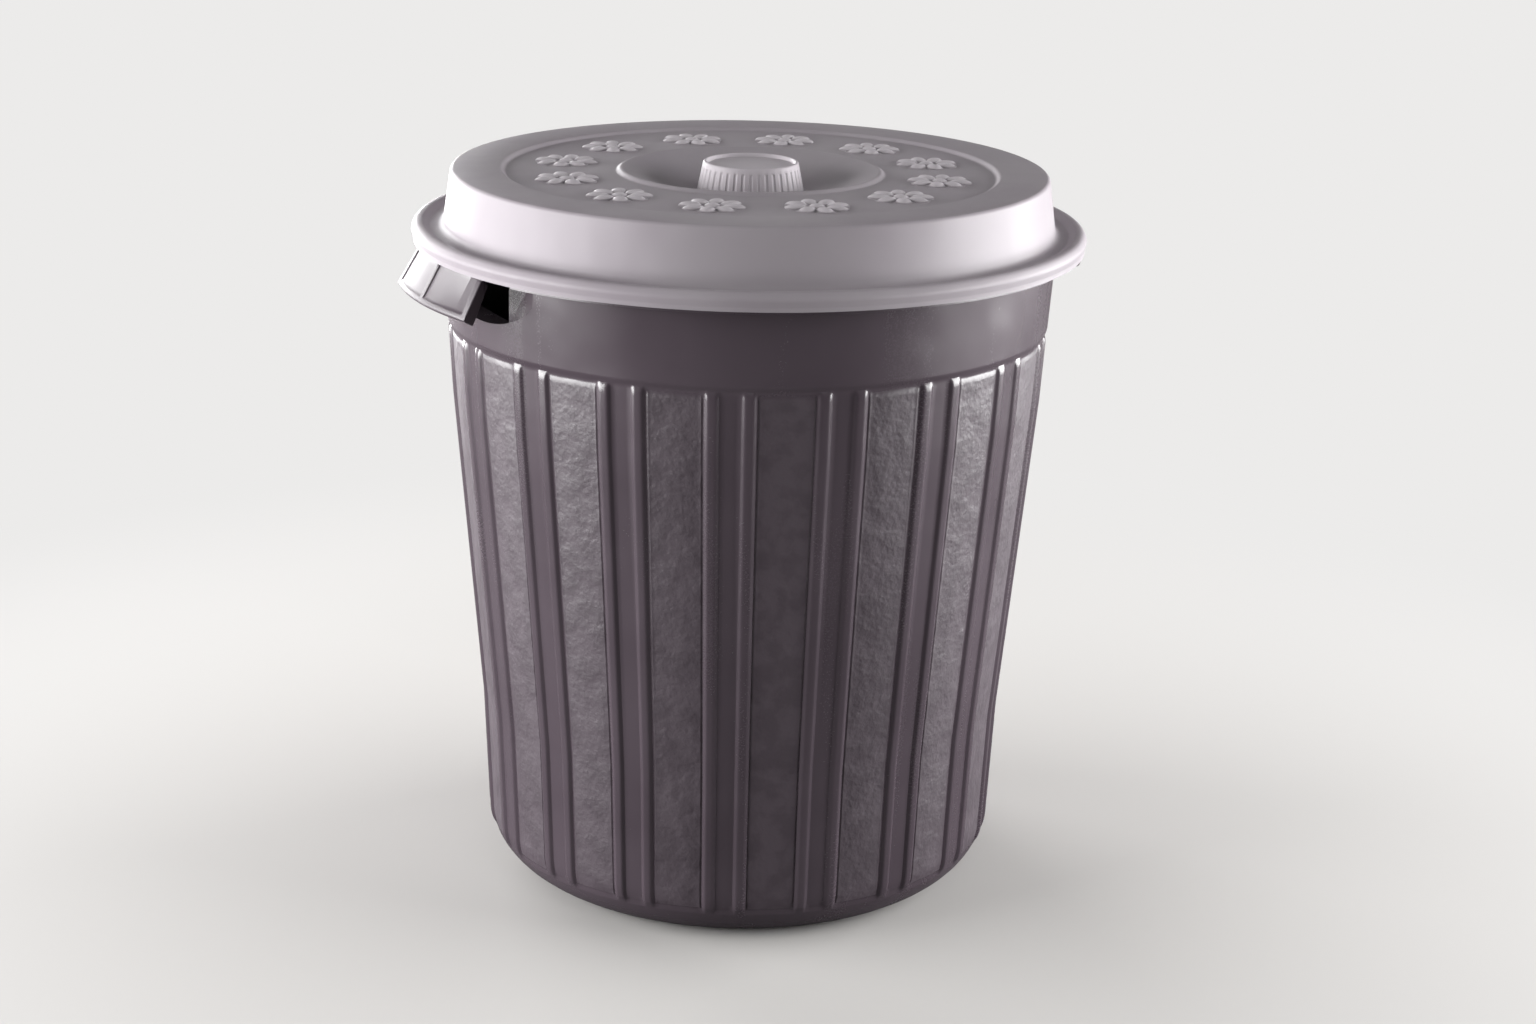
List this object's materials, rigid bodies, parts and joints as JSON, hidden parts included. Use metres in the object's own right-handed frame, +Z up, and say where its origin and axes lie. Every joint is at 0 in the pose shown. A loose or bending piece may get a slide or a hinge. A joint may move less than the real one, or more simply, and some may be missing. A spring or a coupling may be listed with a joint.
{
  "type": "bucket with lid",
  "caption": "Round ribbed household bucket with flared side grips, hand holes, and a lift-off domed lid with a fluted knob.",
  "frame": {"origin": "middle of the base, on the floor", "axes": "+Z up along the bucket's axis; the two grips lie on +X and -X"},
  "size_m": [0.4516, 0.4298, 0.4683],
  "materials": {
    "bucket_plastic": "satin, with leather-grained panels",
    "lid_plastic": "satin",
    "knob_plastic": "satin"
  },
  "bodies": {
    "bucket_body": {"bucket": "bucket_plastic"},
    "lid_body": {"lid": "lid_plastic", "lid_knob": "knob_plastic"}
  },
  "joints": [
    {"name": "lid_lift", "type": "slide", "parent": "bucket_body", "child": "lid_body", "axis": [0, 0, 1], "range_m": [0, 0.12]}
  ]
}
